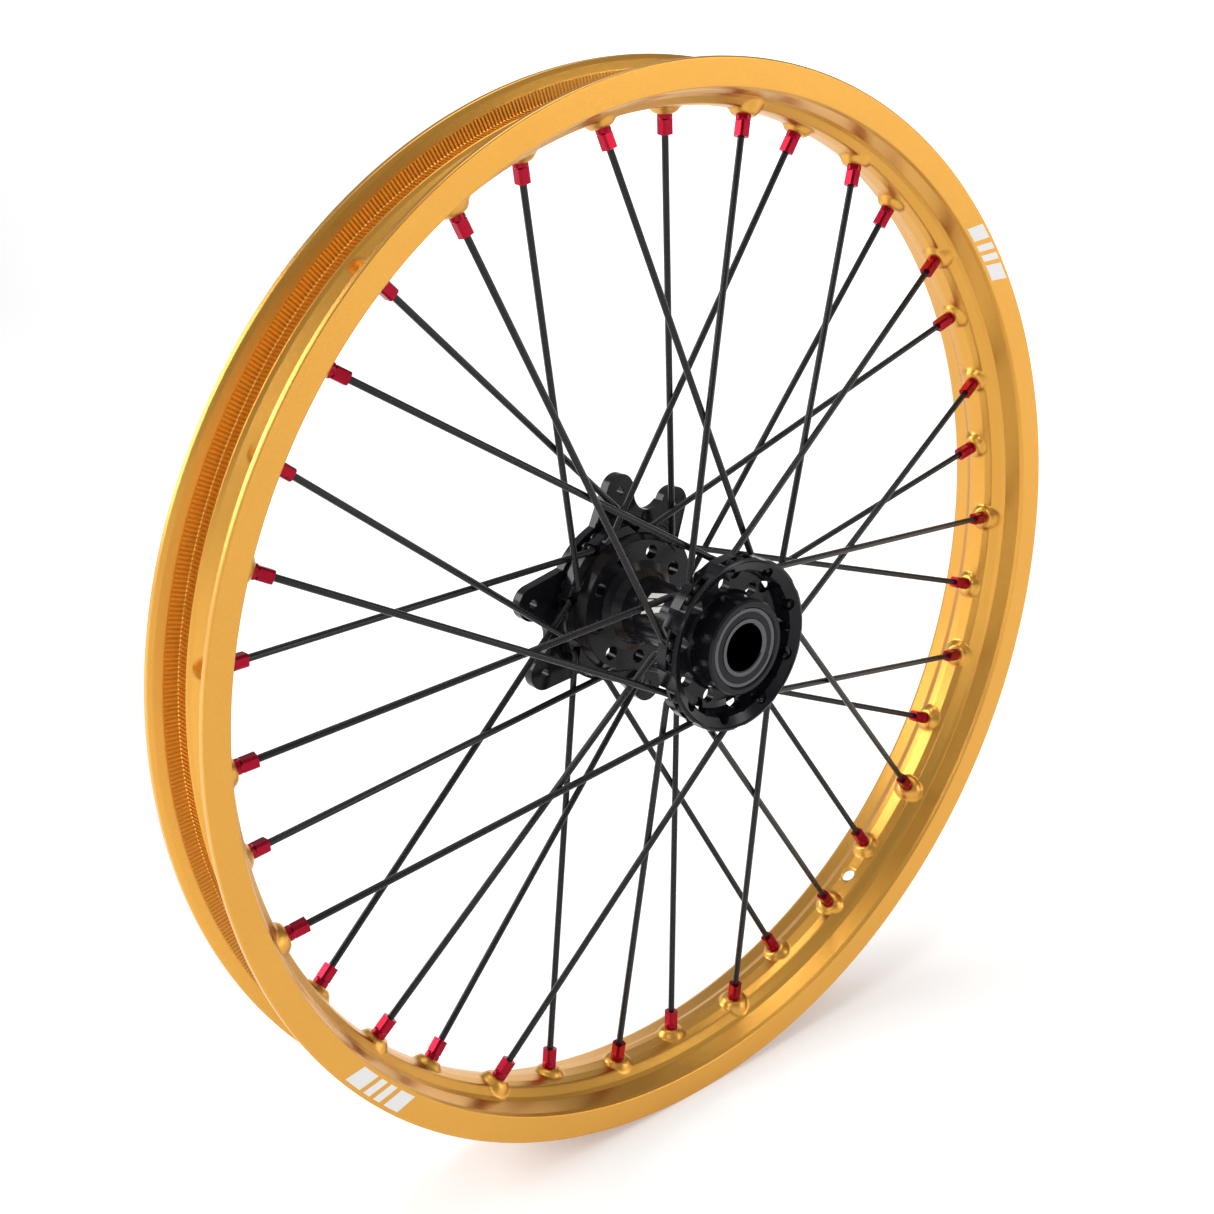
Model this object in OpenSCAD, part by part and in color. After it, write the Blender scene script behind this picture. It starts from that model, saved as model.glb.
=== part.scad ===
// 21-inch spoked front wheel, without tyre, brake disc and axle.
// Millimetres. The origin is the wheel's centre, on the axle's line at the middle of the rim.
// +Y runs along the axle to the left (brake-disc) side, +X forward, +Z up.

/* [Rim] */
// outside diameter over the flange lips
rim_d = 560; // [480:1:620]
// overall width over the flange lips
rim_w = 54; // [46:0.5:70]
// width between the flanges at the bead seats
bead_w = 40.6; // [34:0.1:56]
// radial height of the flanges above the bead seats
flange_h = 12.7; // [10:0.1:16]
// depth of the well below the bead seats
well_depth = 7.2; // [5:0.1:14]
// half the width of the well's flat floor
well_half = 7.6; // [6:0.1:12]
// wall thickness of the well
rim_wall = 2.8; // [2:0.1:4]
// diameter of the valve hole
valve_hole_d = 8.5; // [6:0.1:12]

/* [Hub] */
// radius of the circle of spoke holes
spoke_circle_r = 42.5; // [38:0.1:60]
// distance from the wheel's middle to the inner elbows, right side
right_elbow_y = 34.7; // [28:0.1:45]
// distance from the wheel's middle to the inner elbows, left side
left_elbow_y = 28.6; // [24:0.1:40]
// how much further out the outer elbows sit
elbow_step = 4.4; // [4:0.1:6]
// outside radius of the hub's neck
neck_r = 17; // [16.8:0.1:20]
// distance from the wheel's middle to the right bearing's outer face
right_bearing_y = 54.2; // [50:0.1:70]
// distance from the wheel's middle to the left bearing's outer face
left_bearing_y = 50.2; // [48:0.1:66]
// diameter of the circle of brake-disc bolts
disc_pcd = 120; // [112:0.5:132]
// distance from the wheel's middle to the face the brake disc bolts to
disc_face_y = 47; // [46:0.1:52]

/* [Spokes] */
// number of spoke holes on each side
spokes_per_side = 18; // [12:2:20]
// diameter of a spoke
spoke_d = 3.4; // [2.6:0.1:3.8]
// angle at the axle between a spoke's nipple and its hub station
spoke_lean = 50; // [40:0.5:55]
// turn of the whole wheel at rest
rest_turn = -11.2; // [-20:0.1:20]

/* [Bearings] */
// bore
bearing_bore = 25; // [20:0.5:27]
// outside diameter
bearing_od = 42; // [38:0.5:47]
// width
bearing_w = 9; // [8:0.5:12]
// number of balls
ball_count = 13; // [9:1:15]

/* [Hidden] */
$fn = 96;
eps = 0.01;
long = 200;

// rim section
rim_r = rim_d / 2;
seat_r = rim_r - flange_h;
well_in_r = seat_r - well_depth;
well_out_r = well_in_r - rim_wall;
lip_y = rim_w / 2;
bead_y = bead_w / 2;

// stations: each one carries two spokes on one side
stations = spokes_per_side / 2;
station_step = 360 / stations;
nipple_step = station_step / 4;
right_station = rest_turn + spoke_lean;
left_station = right_station + nipple_step;
hole_half = 4.4;                    // half the angle between a station's two holes

// spokes and nipples
spoke_r = spoke_d / 2;
bend_r = 3.6;
elbow_gap = bend_r * 0.9 + 0.2;     // from the elbow's corner to the flange's face
inner_seat_y = 2.0;                 // distance of the nipple seats from the rim's middle
outer_seat_y = 4.0;
dome_h = 2.9;
nipple_r = 3.7;
nipple_hole_r = nipple_r + 0.15;
nipple_head_r = 4.3;
nipple_neck_r = 2.9;
nipple_square = 6.2;
nipple_len = 13.2;

// hub flanges
flange_r = spoke_circle_r + 3;
ring_t = 7;                         // thickness of a spoke ring
pocket_gap = 4.2;                   // room for the spoke heads outside a right-hand ring
head_r = 2.9;
head_t = 2;
head_room = head_t + 0.6;
bowl_r = spoke_circle_r - 3.9;      // inside of the wall between the right-hand heads and the bowl
right_ring_in = right_elbow_y + elbow_gap;
right_ring_out = right_ring_in + ring_t;
right_lip_in = right_ring_out + pocket_gap;
right_lip_out = right_lip_in + 1.6;
left_ring_in = left_elbow_y + elbow_gap;
left_ring_out = left_ring_in + ring_t;
boss_r = bearing_od / 2 + 4;
web_out_r = spoke_circle_r - 9.5;   // where a web's flat part ends
neck_root_r = neck_r + 4;
window_r = 3.9;
window_circle_r = boss_r + window_r + 0.6;
shaft_room_r = bearing_bore / 2 + 2.5;

// bearings: the largest ball that leaves a wall in each ring and a rim on the cage beside the seals
ring_wall = 1.5;
race_clear = 0.3;
seal_t = 0.9;
seal_inset = 0.3;
seal_bite = 0.35;
cage_half_w = bearing_w / 2 - seal_inset - seal_t - race_clear;
cage_rim = 0.55;
ball_r = min((bearing_od - bearing_bore) / 4 - ring_wall - race_clear, cage_half_w - cage_rim);
pitch_r = (bearing_od + bearing_bore) / 4;
land = ball_r * 0.7;                // half the gap between the two rings' lands

// the four spoke sets, in the order of their kind: 0, 1, 2 and 3
sets = ["right_inner", "left_outer", "right_outer", "left_inner"];
sides = ["right", "left"];

module rim() {
  color("goldenrod") difference() {
    union() {
      on_axle() rotate_extrude($fn = 180) rim_section();
      for (kind = [0 : 3]) every_station(kind) nipple_axis(kind) rim_dome();
    }
    for (kind = [0 : 3]) every_station(kind) nipple_axis(kind) nipple_drilling();
    rotate([0, rest_turn + 15.5 * nipple_step, 0])
      translate([0, 0, well_out_r - 6]) cylinder(r = valve_hole_d / 2, h = 20, $fn = 48);
  }
}

module rim_section() {
  lip_in = bead_y + 3.4;
  half = [
    [rim_r, lip_in + 0.6], [rim_r, lip_y - 0.8], [rim_r - 0.3, lip_y - 0.2], [rim_r - 1, lip_y],
    [seat_r - 0.8, lip_y - 2], [seat_r - 1.8, lip_y - 3.8],
    [seat_r - 3.8, bead_y - 6.2], [seat_r - 5.2, well_half + 4.6],
    [well_out_r + 0.9, well_half + 0.6], [well_out_r + 0.2, well_half - 1.6], [well_out_r, well_half - 4]];
  inside = [
    [well_in_r, well_half - 4.4], [well_in_r + 0.4, well_half - 2],
    [seat_r - 1.4, well_half + 3.6], [seat_r - 0.2, well_half + 4.6], [seat_r + 0.5, well_half + 5.2],
    [seat_r - 0.5, well_half + 6.4], [seat_r, bead_y - 0.6], [seat_r + 0.8, bead_y],
    [rim_r - 6, bead_y + 0.7], [rim_r - 2.2, bead_y + 2], [rim_r - 0.5, lip_in - 0.6]];
  polygon(concat(half, mirrored(reversed(half)), mirrored(reversed(inside)), inside));
}

function reversed(list) = [for (i = [len(list) - 1 : -1 : 0]) list[i]];
function mirrored(list) = [for (p = list) [p[0], -p[1]]];

// stands one thing at each station of a kind; kinds 0 and 2 are on the right, 1 and 3 on the left
module every_station(kind) {
  for (i = [0 : stations - 1]) at_station(kind, i) children();
}

module at_station(kind, i) {
  rotate([0, (kind % 2 == 0 ? right_station : left_station) + i * station_step, 0]) children();
}

function outward(kind) = kind % 2 == 0 ? -1 : 1;
function leans(kind) = kind < 2 ? -1 : 1;
function is_outer(kind) = kind == 1 || kind == 2;
function elbow_y(kind) = outward(kind) * ((kind % 2 == 0 ? right_elbow_y : left_elbow_y)
                                          + (is_outer(kind) ? elbow_step : 0));
function seat_y(kind) = outward(kind) * (is_outer(kind) ? outer_seat_y : inner_seat_y);
function round_axle(r, y, a) = [r * sin(a), y, r * cos(a)];
function seat_point(kind) = round_axle(well_out_r, seat_y(kind), leans(kind) * spoke_lean);
function elbow_point(kind) = round_axle(spoke_circle_r, elbow_y(kind), leans(kind) * hole_half);
function along(kind) = elbow_point(kind) - seat_point(kind);
// angle that a spoke turns through at its elbow, into the axle's direction
function elbow_turn(kind) = acos(along(kind)[1] * outward(kind) / norm(along(kind)));

// local +Z runs from the rim's well to the elbow; local -X leans to the outside of the wheel
module nipple_axis(kind) {
  v = along(kind);
  translate(seat_point(kind)) lay_along(v, outward(kind)) children();
}

// turns +Z to the direction v and +X to the side of the wheel's outside
module lay_along(v, side) {
  z = v / norm(v);
  y0 = cross(z, [0, side, 0]);
  y = y0 / norm(y0);
  x = cross(y, z);
  multmatrix([[x[0], y[0], z[0], 0], [x[1], y[1], z[1], 0], [x[2], y[2], z[2], 0], [0, 0, 0, 1]])
    children();
}

module on_axle() {
  rotate([-90, 0, 0]) children();
}

module rim_dome() {
  translate([0, 0, -1.6]) cylinder(r1 = 8.6, r2 = 7, h = 2.8, $fn = 48);
  translate([0, 0, 1.2 - eps]) cylinder(r1 = 7, r2 = 4.7, h = dome_h - 1.2, $fn = 48);
}

module nipple_drilling() {
  cylinder(r = nipple_hole_r, h = 20, center = true, $fn = 48);
  translate([0, 0, -8]) cylinder(r1 = 9.8, r2 = 4.7, h = 8.2, $fn = 48);
}

module hub() {
  color("dimgray") difference() {
    union() {
      on_axle() rotate_extrude() hub_section();
      disc_carrier();
    }
    hub_bores();
    flange_windows();
    spoke_pockets();
    for (kind = [0 : 3]) every_station(kind) spoke_drilling(kind);
    bowl_holes();
    scallops();
  }
}

module hub_section() {
  polygon([
    [shaft_room_r - 2, -right_bearing_y - 0.8], [boss_r - 1, -right_bearing_y - 0.8],
    [boss_r, -right_bearing_y + 0.2], [boss_r, -right_ring_in - 2.5], [boss_r + 1.5, -right_ring_in - 0.6],
    [web_out_r, -right_ring_in - 0.6], [bowl_r - 2.6, -right_ring_in - 1.6],
    [bowl_r - 0.6, -right_ring_out + 0.3], [bowl_r, -right_ring_out - head_room],
    [flange_r - 2.4, -right_lip_out + 0.8], [flange_r - 1.6, -right_lip_out],
    [flange_r - 0.4, -right_lip_out + 0.4], [flange_r - 0.1, -right_lip_in], [flange_r, -right_ring_out],
    [flange_r, -right_ring_in - 0.6], [flange_r - 0.8, -right_ring_in], [spoke_circle_r - 5, -right_ring_in],
    [web_out_r, -right_ring_in + 4.2], [boss_r, -right_ring_in + 4.6], [neck_root_r, -right_ring_in + 7],
    [neck_r + 0.9, -right_ring_in + 12], [neck_r, -right_ring_in + 20],
    [neck_r, left_ring_in - 20], [neck_r + 0.9, left_ring_in - 12], [neck_root_r, left_ring_in - 7.6],
    [boss_r, left_ring_in - 5.2], [spoke_circle_r - 6.5, left_ring_in - 5],
    [spoke_circle_r - 3.5, left_ring_in],
    [flange_r - 1.6, left_ring_in], [flange_r - 0.8, left_ring_in + 0.8], [flange_r - 0.8, left_ring_out],
    [flange_r - 0.8, disc_face_y - 1], [flange_r - 2.6, disc_face_y],
    [web_out_r + 1, left_ring_in + 1.2], [boss_r + 1.5, left_ring_in + 1.2], [boss_r, left_ring_in + 3],
    [boss_r, left_bearing_y - 0.2], [boss_r - 1, left_bearing_y + 0.8],
    [shaft_room_r - 2, left_bearing_y + 0.8]]);
}

module hub_bores() {
  seat_r = bearing_od / 2;
  on_axle() {
    cylinder(r = shaft_room_r, h = long, center = true);
    translate([0, 0, left_bearing_y - bearing_w]) cylinder(r = seat_r, h = long);
    translate([0, 0, left_bearing_y]) cylinder(r1 = seat_r, r2 = seat_r + 0.9, h = 0.9);
    translate([0, 0, -right_bearing_y + bearing_w - long]) cylinder(r = seat_r, h = long);
    translate([0, 0, -right_bearing_y - 0.9]) cylinder(r1 = seat_r + 0.9, r2 = seat_r, h = 0.9);
  }
}

// nine round windows in each web
module flange_windows() {
  for (i = [0 : stations - 1]) rotate([0, right_station + i * station_step, 0]) {
    translate([0, -right_ring_in, window_circle_r]) on_axle()
      cylinder(r = window_r, h = 20, center = true, $fn = 48);
    rotate([0, station_step / 2, 0]) translate([0, left_ring_in, window_circle_r]) on_axle()
      cylinder(r = window_r, h = 30, center = true, $fn = 48);
  }
}

// pockets where the spoke heads sit, outside each spoke ring
module spoke_pockets() {
  pocket_angle = 24;
  floor_r = bowl_r + 0.8;
  every_station(0) on_axle() rotate([0, 0, -90 - pocket_angle / 2]) rotate_extrude(angle = pocket_angle) {
    translate([floor_r, -right_ring_out - head_room]) square([20, head_room]);
    translate([spoke_circle_r + 0.9, -right_lip_in]) square([20, pocket_gap]);
  }
  every_station(1) on_axle() rotate([0, 0, -90 - pocket_angle / 2])
    translate([0, 0, left_ring_out]) rotate_extrude(angle = pocket_angle)
      translate([spoke_circle_r - 3.9, 0]) square([10, head_room + 0.4]);
}

// two blind holes beside each station, drilled from the bowl side
module bowl_holes() {
  bowl_hole_r = 3.7;
  holes = [[bowl_r - 0.4, -7.5, right_ring_out - 2.6], [bowl_r - 3.3, 11.6, right_ring_in - 0.9]];
  every_station(0) for (hole = holes) rotate([0, hole[1], 0])
    translate([0, -hole[2], hole[0]]) rotate([90, 0, 0]) cylinder(r = bowl_hole_r, h = 30, $fn = 48);
}

module spoke_drilling(kind) {
  p = elbow_point(kind);
  reach = ring_t + elbow_gap + head_room / 2;
  translate(p - [0, outward(kind) * 10, 0]) rotate([-90 * outward(kind), 0, 0])
    cylinder(r = spoke_r + 0.1, h = reach + 10 - (is_outer(kind) ? elbow_step : 0), $fn = 32);
  if (is_outer(kind)) translate(p) lay_along(-along(kind), outward(kind)) {
    groove = spoke_r + elbow_gap;
    translate([-groove, -spoke_r - 1, -spoke_r - 1]) cube([2 * groove, 2 * spoke_r + 2, 30]);
  }
}

module scallops() {
  bite_r = 16;
  for (i = [0 : stations - 1]) rotate([0, right_station + (i + 0.5) * station_step, 0])
    translate([0, -right_lip_out - 1, flange_r + bite_r - 1.1]) on_axle() cylinder(r = bite_r, h = 40);
}

// six-armed brake-disc carrier
module disc_carrier() {
  carrier_t = 5.6;
  carrier_turn = 20;
  hole_r = 2.5;
  on_axle() rotate([0, 0, carrier_turn - 90]) translate([0, 0, disc_face_y - carrier_t])
    linear_extrude(carrier_t) difference() {
      carrier_outline();
      circle(r = boss_r + 8);
      for (k = [0 : 2], side = [-1, 1]) rotate(k * 120 + side * 20)
        translate([disc_pcd / 2, 0]) circle(r = hole_r, $fn = 32);
    }
}

module carrier_outline() {
  tip_r = 9.4;
  base_r = flange_r + 1;
  arm_angle = 20;
  notch_r = disc_pcd / 2 * sin(arm_angle) - tip_r;
  foot = [base_r * cos(42), base_r * sin(42)];
  tip = [disc_pcd / 2 * cos(arm_angle), disc_pcd / 2 * sin(arm_angle)];
  side = tip + tip_r * [cos(arm_angle + 72), sin(arm_angle + 72)];
  circle(r = base_r);
  for (k = [0 : 2]) rotate(k * 120) difference() {
    union() {
      polygon([[0, 0], [foot[0], -foot[1]], [side[0], -side[1]], [tip[0], -tip[1]],
               tip, side, foot]);
      for (s = [-1, 1]) translate([tip[0], s * tip[1]]) circle(r = tip_r);
    }
    translate([tip[0] + 4.5, 0]) circle(r = notch_r);
    translate([tip[0] + 4.5, -notch_r]) square([30, 2 * notch_r]);
  }
}

// one spoke: straight shaft, J-bend, tail through the spoke ring, button head in the pocket
module spoke(kind) {
  turn = elbow_turn(kind);
  corner = bend_r * tan(turn / 2);
  straight = norm(along(kind)) - corner;
  start = 3;
  swell = 0.03;                     // the bend is a hair thicker than the shaft
  tail = ring_t + elbow_gap - (is_outer(kind) ? elbow_step : 0) - corner;
  color("black") nipple_axis(kind) {
    translate([0, 0, start]) cylinder(r = spoke_r, h = straight - start + swell, $fn = 32);
    translate([bend_r, 0, straight]) {
      rotate([90, 0, 180]) rotate_extrude(angle = turn, $fn = 64)
        translate([bend_r, 0]) circle(r = spoke_r + swell, $fn = 32);
      rotate([0, turn, 0]) translate([-bend_r, 0, -swell]) {
        cylinder(r = spoke_r, h = tail + swell, $fn = 32);
        translate([0, 0, tail + swell]) spoke_head();
      }
    }
  }
}

module spoke_head() {
  cylinder(r = head_r, h = head_t * 0.6, $fn = 32);
  translate([0, 0, head_t * 0.6]) cylinder(r1 = head_r, r2 = head_r * 0.6, h = head_t * 0.4, $fn = 32);
}

// nipple: seat head inside the well, round collar, waist and square key end
module nipple() {
  collar_end = dome_h + 2.3;
  neck_start = collar_end + 1.3;
  difference() {
    union() {
      translate([0, 0, -2.2]) cylinder(r1 = 3.4, r2 = nipple_head_r, h = 1.2, $fn = 48);
      translate([0, 0, -1 - eps]) cylinder(r = nipple_head_r, h = 1.2, $fn = 48);
      cylinder(r = nipple_r, h = collar_end, $fn = 48);
      translate([0, 0, collar_end - eps])
        cylinder(r1 = nipple_r, r2 = nipple_neck_r, h = neck_start - collar_end, $fn = 48);
      intersection() {
        translate([-nipple_square / 2, -nipple_square / 2, neck_start - 0.6])
          cube([nipple_square, nipple_square, nipple_len - neck_start + 0.6]);
        cylinder(r = nipple_r, h = nipple_len, $fn = 48);
      }
    }
    translate([0, 0, -5]) cylinder(r = spoke_r + 0.05, h = 30, $fn = 32);
  }
}

module nipple_set(kind) {
  color("crimson") every_station(kind) nipple_axis(kind) nipple();
}

function bearing_centre(side) = side < 0 ? -right_bearing_y + bearing_w / 2 : left_bearing_y - bearing_w / 2;

module at_bearing(side) {
  translate([0, bearing_centre(side), 0]) on_axle() children();
}

module race_groove() {
  rotate_extrude() translate([pitch_r, 0]) circle(r = ball_r + race_clear, $fn = 48);
}

module tube(outer_r, inner_r, length) {
  rotate_extrude() translate([inner_r, -length / 2]) square([outer_r - inner_r, length]);
}

module bearing_outer_ring(side) {
  land_r = pitch_r + land;
  color("silver") at_bearing(side) difference() {
    rotate_extrude() polygon([
      [land_r, -bearing_w / 2 + 0.4], [land_r + 0.4, -bearing_w / 2], [bearing_od / 2 - 0.5, -bearing_w / 2],
      [bearing_od / 2, -bearing_w / 2 + 0.5], [bearing_od / 2, bearing_w / 2 - 0.5],
      [bearing_od / 2 - 0.5, bearing_w / 2], [land_r + 0.4, bearing_w / 2], [land_r, bearing_w / 2 - 0.4]]);
    race_groove();
    for (end = [-1, 1]) translate([0, 0, end * (bearing_w / 2 - seal_inset - seal_t / 2)])
      tube(land_r + seal_bite + 0.05, land_r - 1, seal_t);
  }
}

module bearing_inner_ring(side) {
  land_r = pitch_r - land;
  color("silver") at_bearing(side) difference() {
    rotate_extrude() polygon([
      [bearing_bore / 2 + 0.5, -bearing_w / 2], [land_r, -bearing_w / 2], [land_r, bearing_w / 2],
      [bearing_bore / 2 + 0.5, bearing_w / 2], [bearing_bore / 2, bearing_w / 2 - 0.5],
      [bearing_bore / 2, -bearing_w / 2 + 0.5]]);
    race_groove();
  }
}

module bearing_balls(side) {
  color("gainsboro") at_bearing(side)
    for (i = [0 : ball_count - 1]) rotate([0, 0, i * 360 / ball_count])
      translate([pitch_r, 0, 0]) sphere(r = ball_r, $fn = 32);
}

module bearing_cage(side) {
  half_t = land - race_clear - 0.35;
  color("darkkhaki") at_bearing(side) difference() {
    tube(pitch_r + half_t, pitch_r - half_t, 2 * cage_half_w);
    for (i = [0 : ball_count - 1]) rotate([0, 0, i * 360 / ball_count])
      translate([pitch_r - ball_r, 0, 0]) rotate([0, 90, 0])
        cylinder(r = ball_r + 0.12, h = 2 * ball_r, $fn = 32);
  }
}

// end is -1 for the seal facing the wheel's middle and 1 for the one facing out
module bearing_seal(side, end) {
  color("black") at_bearing(side)
    translate([0, 0, side * end * (bearing_w / 2 - seal_inset - seal_t / 2)])
      tube(pitch_r + land + seal_bite, pitch_r - land + race_clear, seal_t);
}

module bearing_spacer() {
  inner_faces = [-right_bearing_y + bearing_w, left_bearing_y - bearing_w];
  color("lightgray") translate([0, (inner_faces[0] + inner_faces[1]) / 2, 0]) on_axle()
    tube(shaft_room_r - 0.8, bearing_bore / 2 + 0.2, inner_faces[1] - inner_faces[0]);
}

rim();
hub();
bearing_spacer();
for (kind = [0 : 3]) {
  for (i = [0 : stations - 1])
    at_station(kind, i) spoke(kind);
  nipple_set(kind);
}
for (k = [0, 1]) {
  side = 2 * k - 1;
  bearing_outer_ring(side);
  bearing_inner_ring(side);
  bearing_balls(side);
  bearing_cage(side);
  bearing_seal(side, 1);
  bearing_seal(side, -1);
}
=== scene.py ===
# %% [markdown]
# # A spoked off-road front wheel
# The wheel is a gold rim, a black hub and thirty-six black spokes held by red nipples. Its solid
# parts come ready made as a fixed frame, so every piece here goes exactly where the frame has it.
# The origin is the wheel's centre, +Y runs along the axle, and all lengths are in metres.

# %% Load the frame and keep its box
import math
import bpy
import numpy as np
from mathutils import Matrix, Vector


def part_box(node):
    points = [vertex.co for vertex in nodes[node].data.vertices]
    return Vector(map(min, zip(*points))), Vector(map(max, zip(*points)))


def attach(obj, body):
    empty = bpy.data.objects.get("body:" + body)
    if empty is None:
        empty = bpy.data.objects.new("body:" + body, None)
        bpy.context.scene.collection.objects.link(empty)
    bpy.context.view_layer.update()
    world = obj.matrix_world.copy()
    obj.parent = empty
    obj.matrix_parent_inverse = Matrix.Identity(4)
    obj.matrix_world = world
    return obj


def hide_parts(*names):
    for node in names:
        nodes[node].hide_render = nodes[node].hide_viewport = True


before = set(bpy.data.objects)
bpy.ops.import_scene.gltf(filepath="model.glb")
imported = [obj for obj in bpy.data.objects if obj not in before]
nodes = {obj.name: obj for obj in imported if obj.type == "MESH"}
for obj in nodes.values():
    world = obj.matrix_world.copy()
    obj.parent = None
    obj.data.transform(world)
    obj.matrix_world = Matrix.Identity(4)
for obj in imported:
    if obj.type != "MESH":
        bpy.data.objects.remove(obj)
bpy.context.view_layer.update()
MM = 0.001
rim_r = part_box("rim")[1].z
print("nodes:", len(nodes), "rim radius:", round(rim_r / MM, 1), "mm")

# %% [markdown]
# ## Camera
# The camera stands less than a metre from the wheel's centre, behind it and to its right, and looks
# down by about twenty degrees. So near, the rim's near side looks clearly larger than its far side. A
# small shift frames the wheel and leaves its perspective alone.

# %% Place the camera
cam_data = bpy.data.cameras.new("camera")
cam = bpy.data.objects.new("camera", cam_data)
bpy.context.collection.objects.link(cam)
bpy.context.scene.camera = cam
cam_data.lens = 47.64
cam_data.sensor_width = 36
cam_data.shift_x = -0.0038
cam_data.shift_y = -0.0180
cam.location = (-0.5332, -0.5775, 0.2967)
cam.rotation_euler = (math.radians(70.50), 0, math.radians(-40.42))
print("camera distance:", round(cam.location.length, 3), "m")

# %% [markdown]
# ## Floor
# Metal shows what is around it, so the studio matters as much as the metal. The floor is a round white
# sweep: flat under the wheel, then curving up all round, so that no horizon shows from any side.

# %% The floor's sweep
def link_mesh(name, verts, faces, smooth=True):
    mesh = bpy.data.meshes.new(name)
    mesh.from_pydata([tuple(v) for v in verts], [], [tuple(f) for f in faces])
    mesh.polygons.foreach_set("use_smooth", [smooth] * len(mesh.polygons))
    mesh.update()
    obj = bpy.data.objects.new(name, mesh)
    bpy.context.collection.objects.link(obj)
    return obj


floor_z = -rim_r
flat_r, sweep_r, sweep_angle = 3.0, 3.2, 1.0
sweep_profile = [(0.02, 0.0), (1.0, 0.0), (2.0, 0.0)]
sweep_profile += [(flat_r + sweep_r * math.sin(t), sweep_r * (1 - math.cos(t)))
                  for t in np.linspace(0, sweep_angle, 9)]
floor_turns = 48
floor_verts = [(r * math.cos(a), r * math.sin(a), floor_z + rise)
               for a in np.linspace(0, 2 * math.pi, floor_turns, endpoint=False) for r, rise in sweep_profile]
rows = len(sweep_profile)
floor_faces = [tuple(range(0, floor_turns * rows, rows))]
for turn in range(floor_turns):
    here, after = turn * rows, (turn + 1) % floor_turns * rows
    floor_faces += [(here + k, here + k + 1, after + k + 1, after + k) for k in range(rows - 1)]
floor = link_mesh("floor", floor_verts, floor_faces)
print("floor:", len(floor_faces), "faces, flat to", flat_r, "m")

# %% [markdown]
# ## Lamps
# Four soft boxes do the work. The one behind the wheel draws the long highlights down the tyre side,
# and the one overhead lights the domes and the hub's rims.

# %% Lamps
def area_lamp(name, place, size, power):
    data = bpy.data.lights.new(name, "AREA")
    data.shape = "RECTANGLE"
    data.size, data.size_y = size
    data.energy = power
    lamp = bpy.data.objects.new(name, data)
    bpy.context.collection.objects.link(lamp)
    lamp.location = place
    lamp.rotation_euler = (-Vector(place)).to_track_quat("-Z", "Y").to_euler()
    return lamp


area_lamp("key_lamp", (-1.7, -0.2, 1.2), (0.8, 0.8), 14)
area_lamp("top_lamp", (0.2, 0.3, 2.0), (1.2, 1.2), 15)
area_lamp("back_lamp", (-1.2, 1.6, 0.9), (0.7, 1.2), 20)
area_lamp("side_lamp", (1.2, -1.6, 0.6), (0.3, 1.2), 6)

# %% [markdown]
# ## Room
# The camera sees pure white past the floor. The metal sees a room that is dim at eye level and paler
# overhead, because polished and satin metal need something dark to reflect as well as something bright.

# %% Room
world = bpy.data.worlds.new("pale_room")
bpy.context.scene.world = world
world.use_nodes = True
room = world.node_tree
seen = room.nodes["Background"]
seen.inputs["Color"].default_value = (1, 1, 1, 1)
seen.inputs["Strength"].default_value = 1.0
lighting = room.nodes.new("ShaderNodeBackground")
lighting.inputs["Strength"].default_value = 0.80
height = room.nodes.new("ShaderNodeSeparateXYZ")
room.links.new(room.nodes.new("ShaderNodeTexCoord").outputs["Generated"], height.inputs[0])
tones = room.nodes.new("ShaderNodeValToRGB")
room.links.new(height.outputs["Z"], tones.inputs[0])
tones.color_ramp.elements[0].color = (0.20, 0.20, 0.21, 1)
tones.color_ramp.elements[1].color = (0.85, 0.85, 0.85, 1)
room.links.new(tones.outputs[0], lighting.inputs["Color"])
to_camera = room.nodes.new("ShaderNodeLightPath").outputs["Is Camera Ray"]
choose = room.nodes.new("ShaderNodeMixShader")
room.links.new(to_camera, choose.inputs[0])
room.links.new(lighting.outputs[0], choose.inputs[1])
room.links.new(seen.outputs[0], choose.inputs[2])
room.links.new(choose.outputs[0], room.nodes["World Output"].inputs["Surface"])
bpy.context.scene.view_settings.view_transform = "Standard"
print("room nodes:", len(room.nodes))

# %% [markdown]
# ## A helper for finishes
# Every finish starts from one Principled shader. Small helpers add the nodes: coordinates that
# follow the wheel round (distance from the axle, angle, place along the axle), noise and bump.
# Turned and rolled parts carry marks that run round the axle, and these coordinates make them easy.

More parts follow.
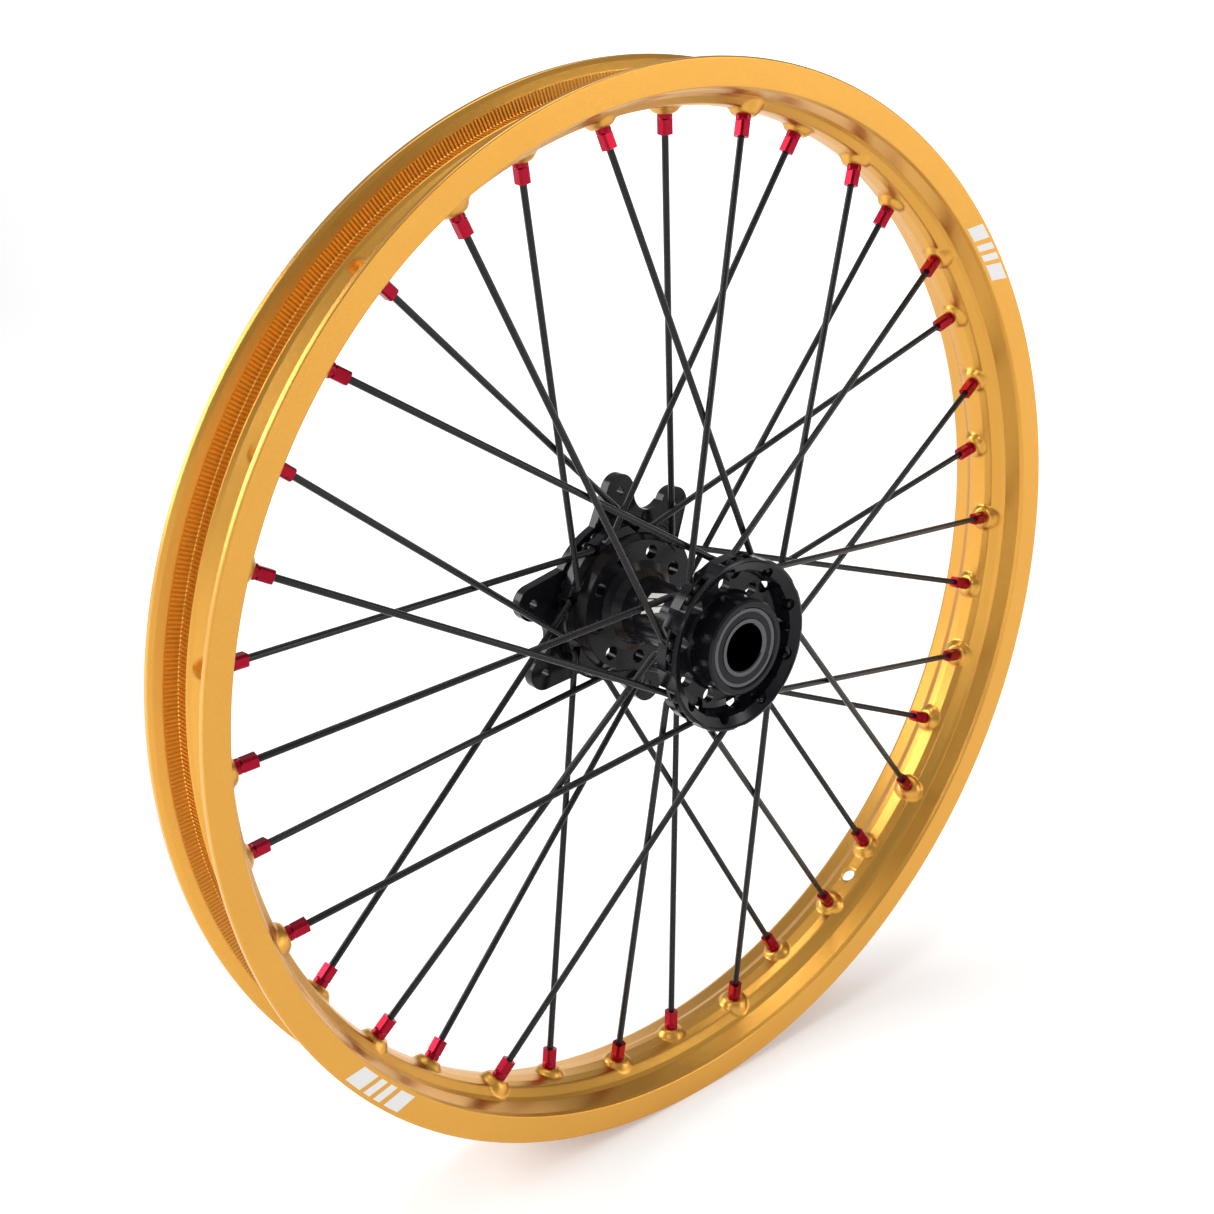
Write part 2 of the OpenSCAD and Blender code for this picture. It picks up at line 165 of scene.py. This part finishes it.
# %% Material helpers
class Finish:
    def __init__(self, name, colour, metallic, roughness):
        self.material = bpy.data.materials.new(name)
        self.material.use_nodes = True
        self.tree = self.material.node_tree
        self.shader = self.tree.nodes["Principled BSDF"]
        self.set("Base Color", (*colour, 1))
        self.set("Metallic", metallic)
        self.set("Roughness", roughness)
        self.material.diffuse_color = (*colour, 1)

    def set(self, socket, value):
        self.shader.inputs[socket].default_value = value

    def node(self, kind, **inputs):
        made = self.tree.nodes.new(kind)
        for socket, value in inputs.items():
            self.feed(made.inputs[socket], value)
        return made

    def feed(self, socket, value):
        if isinstance(value, bpy.types.NodeSocket):
            self.tree.links.new(value, socket)
        else:
            socket.default_value = value

    def math(self, operation, a, b=0.0, c=0.0):
        made = self.tree.nodes.new("ShaderNodeMath")
        made.operation = operation
        for socket, value in zip(made.inputs, (a, b, c)):
            self.feed(socket, value)
        return made.outputs[0]

    def place(self):
        return self.node("ShaderNodeTexCoord").outputs["Object"]

    def round_axle(self):
        """Distance from the axle, angle and place along the axle, as three sockets."""
        split = self.node("ShaderNodeSeparateXYZ", Vector=self.place())
        x, y, z = split.outputs
        far = self.math("SQRT", self.math("MULTIPLY_ADD", x, x, self.math("MULTIPLY", z, z)))
        return far, self.math("ARCTAN2", x, z), y

    def noise(self, where, scale, detail=2.0, roughness=0.5):
        made = self.node("ShaderNodeTexNoise", Vector=where, Scale=scale, Detail=detail)
        made.inputs["Roughness"].default_value = roughness
        return made.outputs["Fac"]

    def turned_noise(self, across, along=6.0, detail=2.0):
        """Noise drawn out into fine rings round the axle."""
        far, angle, y = self.round_axle()
        where = self.tree.nodes.new("ShaderNodeCombineXYZ")
        self.feed(where.inputs[0], self.math("MULTIPLY", far, across))
        self.feed(where.inputs[1], self.math("MULTIPLY", angle, along))
        self.feed(where.inputs[2], self.math("MULTIPLY", y, across))
        return self.noise(where.outputs[0], 1.0, detail)

    def ramp(self, value, low, high):
        made = self.node("ShaderNodeMapRange", Value=value)
        made.inputs["To Min"].default_value = low
        made.inputs["To Max"].default_value = high
        return made.outputs["Result"]

    def blend(self, factor, first, second):
        made = self.tree.nodes.new("ShaderNodeMix")
        made.data_type = "RGBA"
        self.feed(made.inputs["Factor"], factor)
        made.inputs["A"].default_value = (*first, 1)
        made.inputs["B"].default_value = (*second, 1)
        return made.outputs["Result"]

    def colour_from(self, socket):
        self.tree.links.new(socket, self.shader.inputs["Base Color"])

    def roughness_from(self, value, low, high):
        self.tree.links.new(self.ramp(value, low, high), self.shader.inputs["Roughness"])

    def bump(self, *layers):
        """Each layer is (height, depth in metres); the layers add up."""
        normal = None
        for height, depth in layers:
            made = self.node("ShaderNodeBump", Height=height, Distance=depth)
            made.inputs["Strength"].default_value = 1.0
            if normal is not None:
                self.feed(made.inputs["Normal"], normal)
            normal = made.outputs["Normal"]
        self.tree.links.new(normal, self.shader.inputs["Normal"])


def wear(obj, *finishes):
    obj.data.materials.clear()
    for finish in finishes:
        obj.data.materials.append(finish.material)


print("helpers ready")

# %% [markdown]
# ## The gold finish
# The rim is blasted with fine beads and then anodised. Blasting leaves a grain of about a quarter of
# a millimetre that spreads every reflection. The dye is even, with a slightly deeper tone in places.
# The knurled seats have the same finish over fine teeth about two millimetres apart, and their colour carries
# painted shade: darker in the teeth's valleys, lighter on their crests.

# %% Gold anodised aluminium
def gold_finish(name):
    gold = Finish(name, (0.74, 0.36, 0.06), 1.0, 0.40)
    grain = gold.noise(gold.place(), 3800, 3, 0.7)
    cloud = gold.noise(gold.place(), 14, 2)
    tone = gold.math("MULTIPLY_ADD", gold.ramp(cloud, -0.2, 0.6), 0.4, gold.ramp(grain, -0.5, 1.5))
    gold.colour_from(gold.blend(tone, (0.72, 0.38, 0.080), (0.58, 0.28, 0.048)))
    gold.roughness_from(grain, 0.22, 0.36)
    return gold, grain


gold, grain = gold_finish("gold_anodised")
gold.bump((grain, 0.00005))
knurled_gold, grain = gold_finish("gold_knurled_seat")
tooth_count = 850
angle_round = knurled_gold.round_axle()[1]
tooth = knurled_gold.math("SINE", knurled_gold.math("MULTIPLY", angle_round, tooth_count))
# Painted shade: the colour follows the teeth's height, darker in their valleys and lighter on their crests.
knurled_gold.colour_from(knurled_gold.blend(knurled_gold.math("MULTIPLY_ADD", tooth, 0.5, 0.5),
                                            (0.52, 0.23, 0.030), (0.78, 0.41, 0.085)))
knurled_gold.bump((tooth, 0.0003), (grain, 0.00004))
print("gold finishes:", gold.material.name, knurled_gold.material.name)

# %% [markdown]
# ## The black finishes
# The hub is machined, polished and anodised gloss black, so faint turning rings show in its
# reflections. The spokes are steel with a black coat over drawn wire.

# %% Hub and spoke finishes
hub_black = Finish("hub_black", (0.006, 0.006, 0.008), 0.0, 0.22)
hub_black.set("Specular IOR Level", 0.18)
rings = hub_black.turned_noise(2600, 5)
hub_black.colour_from(hub_black.blend(rings, (0.004, 0.004, 0.005), (0.009, 0.009, 0.012)))
hub_black.roughness_from(rings, 0.12, 0.24)
hub_black.bump((rings, 0.000012))

spoke_black = Finish("spoke_black", (0.008, 0.008, 0.009), 0.0, 0.3)
spoke_black.set("Specular IOR Level", 0.25)
drawn = spoke_black.noise(spoke_black.place(), 900, 3)
spoke_black.colour_from(spoke_black.blend(drawn, (0.006, 0.006, 0.007), (0.014, 0.014, 0.015)))
spoke_black.roughness_from(drawn, 0.20, 0.32)
spoke_black.bump((drawn, 0.00002))
print("black finishes:", hub_black.material.name, spoke_black.material.name)

# %% [markdown]
# ## Nipples, bearings and seals
# Nipples are machined aluminium dyed red, bright on their flats. Bearing rings are ground steel, and
# the seals are moulded rubber with a dull skin.

# %% Red, steel and rubber
nipple_red = Finish("nipple_red", (0.30, 0.008, 0.022), 1.0, 0.3)
cut = nipple_red.noise(nipple_red.place(), 1500, 3)
nipple_red.colour_from(nipple_red.blend(cut, (0.26, 0.006, 0.018), (0.36, 0.011, 0.030)))
nipple_red.roughness_from(cut, 0.22, 0.38)
nipple_red.bump((cut, 0.00002))

ground_steel = Finish("ground_steel", (0.09, 0.09, 0.10), 1.0, 0.16)
ground = ground_steel.turned_noise(5200, 3)
ground_steel.roughness_from(ground, 0.10, 0.22)
ground_steel.bump((ground, 0.000008))

cage_steel = Finish("cage_steel", (0.5, 0.47, 0.4), 1.0, 0.35)
pressed = cage_steel.noise(cage_steel.place(), 2000, 2)
cage_steel.roughness_from(pressed, 0.28, 0.45)
cage_steel.bump((pressed, 0.00001))

seal_rubber = Finish("seal_rubber", (0.006, 0.006, 0.007), 0.0, 0.5)
seal_rubber.set("Specular IOR Level", 0.2)
moulded = seal_rubber.noise(seal_rubber.place(), 2600, 3)
seal_rubber.roughness_from(moulded, 0.42, 0.6)
seal_rubber.bump((moulded, 0.00002))
small_finishes = (nipple_red, ground_steel, cage_steel, seal_rubber)
print("small finishes:", [finish.material.name for finish in small_finishes])

# %% [markdown]
# ## Who wears what
# A node's name says what it is, so one small function can choose its finish. The hub, spokes, nipples
# and bearings keep the frame's exact shapes.

# %% Dress the frame's nodes
def finish_for(name):
    if "nipples" in name:
        return nipple_red
    if "spoke" in name:
        return spoke_black
    if "seal" in name:
        return seal_rubber
    if "cage" in name:
        return cage_steel
    if "bearing" in name:
        return ground_steel
    return {"rim": gold, "hub": hub_black}[name]


for name, obj in nodes.items():
    wear(obj, finish_for(name))
print("dressed:", len(nodes))

# %% [markdown]
# ## Where the spokes run
# Each nipple stands on the well of the rim and points at its spoke's elbow on the hub. The thirty-six
# stations repeat in fours: right inner, left outer, right outer, left inner. Working both ends out from
# a few wheel sizes gives every piece here the same lines as the frame.

# %% Stations round the rim
nipple_count = 36
nipple_step = 360 / nipple_count
rest_turn = -11.2
spoke_lean = 50
well_r = 257.3 * MM
inner_seat_y, outer_seat_y = 2 * MM, 4 * MM
elbow_circle_r = 42.5 * MM
right_elbow_y, left_elbow_y = 34.7 * MM, 28.6 * MM
outer_elbow_step = 4.4 * MM
half_hole_angle = 4.4


def round_axle(radius, y, degrees):
    turn = math.radians(degrees)
    return Vector((radius * math.sin(turn), y, radius * math.cos(turn)))


def station(number):
    """The nipple's seat and its direction towards the hub."""
    kind = number % 4
    side = -1 if kind % 2 == 0 else 1
    lean = -1 if kind < 2 else 1
    outer = kind in (1, 2)
    angle = rest_turn + number * nipple_step
    elbow_y = (right_elbow_y if side < 0 else left_elbow_y) + (outer_elbow_step if outer else 0)
    seat = round_axle(well_r, side * (outer_seat_y if outer else inner_seat_y), angle)
    elbow = round_axle(elbow_circle_r, side * elbow_y, angle - lean * (spoke_lean - half_hole_angle))
    return angle, seat, (elbow - seat).normalized()


print("first nipple:", [round(v / MM, 1) for v in station(0)[1]], "mm")

# %% [markdown]
# ## Rim: the section
# The rim is rolled from one extruded bar: two tall flanges, a flat seat for each tyre bead and a deep
# well that the beads drop into. A smooth look needs small radii at every corner, so the outline is a
# short list of corners, in millimetres, and a function that rounds them.

# %% The rim's outline
fillet_steps = 4
points_per_corner = fillet_steps + 3


def rounded(corners):
    """A closed outline from (radius, y, fillet) corners, with support points beside each fillet."""
    points = []
    count = len(corners)
    for i in range(count):
        before, here, after = (Vector(corners[(i + k) % count][:2]) for k in (-1, 0, 1))
        to_before, to_after = (before - here).normalized(), (after - here).normalized()
        half = math.acos(max(-1, min(1, to_before.dot(to_after)))) / 2
        fillet = corners[i][2]
        cut = min(fillet / math.tan(half), 0.42 * min((before - here).length, (after - here).length))
        radius = cut * math.tan(half)
        centre = here + (to_before + to_after).normalized() * (radius / math.sin(half))
        start, end = here + to_before * cut, here + to_after * cut
        points.append(start + to_before * min(0.25, 0.1 * (before - here).length))
        for k in range(fillet_steps + 1):
            points.append(centre + (start.lerp(end, k / fillet_steps) - centre).normalized() * radius)
        points.append(end + to_after * min(0.25, 0.1 * (after - here).length))
    return points


flange_top, band_foot = (280, 27, 0.8), (266.4, 25.1, 0.9)
axle_side = [flange_top, band_foot, (265.4, 23.1, 0.7), (263.5, 14.3, 1.2), (262.0, 12.2, 1.6),
             (258.2, 8.3, 3.0), (257.3, 3.4, 4)]
tyre_side = [(260.1, 3.2, 4), (260.5, 5.8, 3), (265.9, 11.2, 2), (267.9, 12.7, 0.6), (266.9, 14.1, 0.5),
             (267.3, 20.1, 0.6), (274, 21.0, 3), (277.9, 22.4, 2), (280, 23.6, 0.7)]
corners = (axle_side + [(r, -y, f) for r, y, f in reversed(axle_side)]
           + [(r, -y, f) for r, y, f in reversed(tyre_side)] + tyre_side)
outline = rounded(corners)
split_at = 2 * len(axle_side) * points_per_corner
print("outline points:", len(outline))

# %% [markdown]
# ## Rim: domes and cups
# At every nipple the well is punched from the tyre side, which leaves a cup there and a dome on the
# axle side. The dome is square to its own spoke, so it leans. The rim's skin is a grid that is finer
# near the nipples; points near a nipple are pushed along its axis to the dome's or the cup's height.

# %% Spin the outline and punch the domes
domed_half_width = 14.5
near_angle = 2.5


def refined(points, start, stop, longest):
    """Splits long edges of the outline where the domes are, within domed_half_width of the middle."""
    out = []
    for i in range(start, stop):
        here, after = points[i], points[(i + 1) % len(points)]
        near_well = max(abs(here.y), abs(after.y)) < domed_half_width
        parts = max(1, math.ceil((after - here).length / longest)) if near_well else 1
        out += [here.lerp(after, k / parts) for k in range(parts)]
    return out


outer_skin = refined(outline, 0, split_at, 0.9)
inner_skin = refined(outline, split_at, len(outline), 1.3)
section = np.array([[p.x, p.y] for p in outer_skin + inner_skin]) * MM
near = np.linspace(-near_angle, near_angle, 25)[:-1]
apart = np.linspace(near_angle, nipple_step - near_angle, 9)[:-1]
columns = np.concatenate([rest_turn + i * nipple_step + np.concatenate([near, apart])
                          for i in range(nipple_count)])
turns = np.radians(columns)[:, None]
across_all = np.broadcast_to(section[:, 1], (len(turns), len(section)))
skin = np.stack([section[:, 0] * np.sin(turns), across_all, section[:, 0] * np.cos(turns)], axis=2)


def smooth_max(a, b, width):
    """The larger of two heights, with the corner between them rounded over a width."""
    h = np.clip(0.5 + 0.5 * (a - b) / width, 0, 1)
    return b + (a - b) * h + width * h * (1 - h)


dome_h, dome_top_r, dome_shoulder = 2.9 * MM, 4.7 * MM, 3.4 * MM
dome_blend, cup_blend = 0.7 * MM, 0.15 * MM
cup_floor, cup_floor_r, cup_slope = -0.3 * MM, 4.8 * MM, 2.2
reach_r, reach_y = 13 * MM, 14 * MM
per_station = len(near) + len(apart)
outer = np.arange(len(section)) < len(outer_skin)
for i in range(nipple_count):
    angle, seat, towards = station(i)
    picked = (np.arange(-5, len(near) + 5) + i * per_station) % len(columns)
    offset = skin[picked] - np.array(seat)
    height = offset @ np.array(towards)
    apart_from_axis = np.linalg.norm(offset - height[..., None] * np.array(towards), axis=2)
    dome = dome_h - np.maximum(apart_from_axis - dome_top_r, 0) ** 2 / dome_shoulder
    cup = cup_floor - np.maximum(apart_from_axis - cup_floor_r, 0) * cup_slope
    target = np.where(outer, smooth_max(height, dome, dome_blend), smooth_max(height, cup, cup_blend))
    near_axis = (apart_from_axis < reach_r) & (np.abs(skin[picked][..., 1]) < reach_y)
    target = np.where(near_axis, target, height)
    skin[picked] += (target - height)[..., None] * np.array(towards)
print("rim skin:", skin.shape[0], "columns of", skin.shape[1])

# %% [markdown]
# ## Rim: one closed skin
# The columns join into a ring of quads. The bead seats and the feet of the flanges are knurled, so
# that the tyre can't creep round the rim, and those quads take their own finish.

# %% Make the rim's mesh
def grid_faces(columns_n, rows_n):
    column, row = np.meshgrid(np.arange(columns_n), np.arange(rows_n), indexing="ij")
    beside, above = (column + 1) % columns_n, (row + 1) % rows_n
    quads = np.stack([column * rows_n + row, beside * rows_n + row, beside * rows_n + above,
                      column * rows_n + above], axis=2)
    return quads.reshape(-1, 4)


def fast_mesh(name, verts, quads):
    mesh = bpy.data.meshes.new(name)
    mesh.vertices.add(len(verts))
    mesh.vertices.foreach_set("co", np.asarray(verts, dtype=np.float32).ravel())
    mesh.loops.add(len(quads) * 4)
    mesh.loops.foreach_set("vertex_index", quads.ravel().astype(np.int32))
    mesh.polygons.add(len(quads))
    mesh.polygons.foreach_set("loop_start", np.arange(0, len(quads) * 4, 4, dtype=np.int32))
    mesh.polygons.foreach_set("use_smooth", np.ones(len(quads), dtype=bool))
    mesh.update(calc_edges=True)
    obj = bpy.data.objects.new(name, mesh)
    bpy.context.collection.objects.link(obj)
    return obj


quads = grid_faces(*skin.shape[:2])
middle = skin.reshape(-1, 3)[quads].mean(axis=1)
middle_y, middle_r = np.abs(middle[:, 1]), np.hypot(middle[:, 0], middle[:, 2])
row_of = np.tile(np.arange(len(section)), len(columns))
knurl_from_y, knurl_to_r = 16.5 * MM, 271.5 * MM
on_seat = (row_of >= len(outer_skin)) & (middle_y > knurl_from_y) & (middle_r < knurl_to_r)
rim_skin = fast_mesh("rim_skin", skin.reshape(-1, 3), quads)
wear(rim_skin, gold, knurled_gold)
rim_skin.data.polygons.foreach_set("material_index", on_seat.astype(np.int32))
print("rim faces:", len(rim_skin.data.polygons), "knurled:", int(on_seat.sum()))

# %% [markdown]
# ## Rim: the valve hole
# The hole for the tyre's valve is drilled square to the well, midway between two nipples. A plain
# drill-sized plug is cut out of the skin, and then the skin stands for the frame's rim.

# %% Drill the valve hole
valve_hole_r = 4.25 * MM
valve_angle = rest_turn + 15.5 * nipple_step
drill_ends = [round_axle(radius, 0, valve_angle) for radius in (240 * MM, 285 * MM)]
across = Vector((math.cos(math.radians(valve_angle)), 0, -math.sin(math.radians(valve_angle))))
ring_points = 48
drill_rings = [[end + (across * math.cos(t) + Vector((0, 1, 0)) * math.sin(t)) * valve_hole_r
                for t in np.linspace(0, 2 * math.pi, ring_points, endpoint=False)] for end in drill_ends]
walls = [(k, (k + 1) % ring_points, ring_points + (k + 1) % ring_points, ring_points + k)
         for k in range(ring_points)]
caps = [tuple(reversed(range(ring_points))), tuple(range(ring_points, 2 * ring_points))]
drill = link_mesh("valve_drill", drill_rings[0] + drill_rings[1], walls + caps, smooth=False)
hole = rim_skin.modifiers.new("valve_hole", "BOOLEAN")
hole.operation = "DIFFERENCE"
hole.solver = "EXACT"
hole.object = drill
drilled = bpy.data.meshes.new_from_object(rim_skin.evaluated_get(bpy.context.evaluated_depsgraph_get()))
rim_skin.modifiers.clear()
rim_skin.data = drilled
bpy.data.objects.remove(drill)
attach(rim_skin, "wheel")
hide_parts("rim")
print("rim faces after drilling:", len(rim_skin.data.polygons))

# %% [markdown]
# ## Printed marks
# White ink marks sit on the rim's near side, opposite each other, and round the hub's neck. Here they
# are plain slanted bars. Ink is a film, so each bar is a thin patch laid just proud of the metal, and
# its own shape follows the cone of the flange or the neck's cylinder.

# %% Marks on the flange and the neck
ink = Finish("white_ink", (0.8, 0.8, 0.78), 0.0, 0.55)
specks = ink.noise(ink.place(), 2200, 3)
ink.colour_from(ink.blend(specks, (0.66, 0.65, 0.62), (0.84, 0.84, 0.82)))
ink.bump((specks, 0.00001))
ink_film = 0.05 * MM
bars = [(-4.3, 2.2), (-1.4, 1.0), (0.2, 1.0), (1.8, 2.4)]     # where each starts, and its width, in degrees


def slanted_bars(name, point_at, slant, scale, steps=6):
    """Bars round the axle; point_at(degrees, across) gives a place, across running from 0 to 1."""
    verts, faces = [], []
    for start, width in bars:
        base = len(verts)
        verts += [point_at((start + width * i / steps) * scale + slant * j / steps, j / steps)
                  for i in range(steps + 1) for j in range(steps + 1)]
        faces += [(base + i * (steps + 1) + j, base + i * (steps + 1) + j + 1,
                   base + (i + 1) * (steps + 1) + j + 1, base + (i + 1) * (steps + 1) + j)
                  for i in range(steps) for j in range(steps)]
    mark = link_mesh(name, verts, faces)
    wear(mark, ink)
    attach(mark, "wheel")
    return mark


mark_r, mark_width = 268.0, 9.8
neck_r, neck_mark_half = 17 * MM, 6 * MM
band_slope = (flange_top[1] - band_foot[1]) / (flange_top[0] - band_foot[0])


def flange_mark(name, centre_angle):
    def point_at(degrees, across):
        radius = mark_r + mark_width * across
        y = -(band_foot[1] + (radius - band_foot[0]) * band_slope) * MM - ink_film
        return round_axle(radius * MM, y, centre_angle + degrees)
    return slanted_bars(name, point_at, slant=1.3, scale=1)


def neck_mark(name, centre_angle):
    def point_at(degrees, across):
        return round_axle(neck_r + ink_film, (2 * across - 1) * neck_mark_half, centre_angle + degrees)
    return slanted_bars(name, point_at, slant=-14, scale=5)


marks = [flange_mark("flange_mark_1", 50), flange_mark("flange_mark_2", -131.5),
         neck_mark("neck_mark", -38)]
print("marks:", len(marks))

# %% [markdown]
# ## Floor paper
# The wheel stands on plain white paper. It glows a little, as paper under studio lights burns out to
# pure white in a picture, and only the softest shadow stays. The glow grows away from the wheel, where
# no lamp reaches.

# %% Floor finish
paper = Finish("floor_paper", (0.9, 0.9, 0.9), 0.0, 0.6)
fibres = paper.noise(paper.place(), 60, 3)
paper.colour_from(paper.blend(fibres, (0.89, 0.89, 0.885), (0.92, 0.915, 0.91)))
# Painted glow: emission that stands in for lamp light, from 0.16 under the wheel to 0.82 at the edge of the
# flat floor.
paper.set("Emission Color", (1, 1, 1, 1))
far_off = paper.math("MINIMUM", paper.round_axle()[0], flat_r)
paper.feed(paper.shader.inputs["Emission Strength"], paper.math("MULTIPLY_ADD", far_off, 0.22, 0.16))
wear(floor, paper)
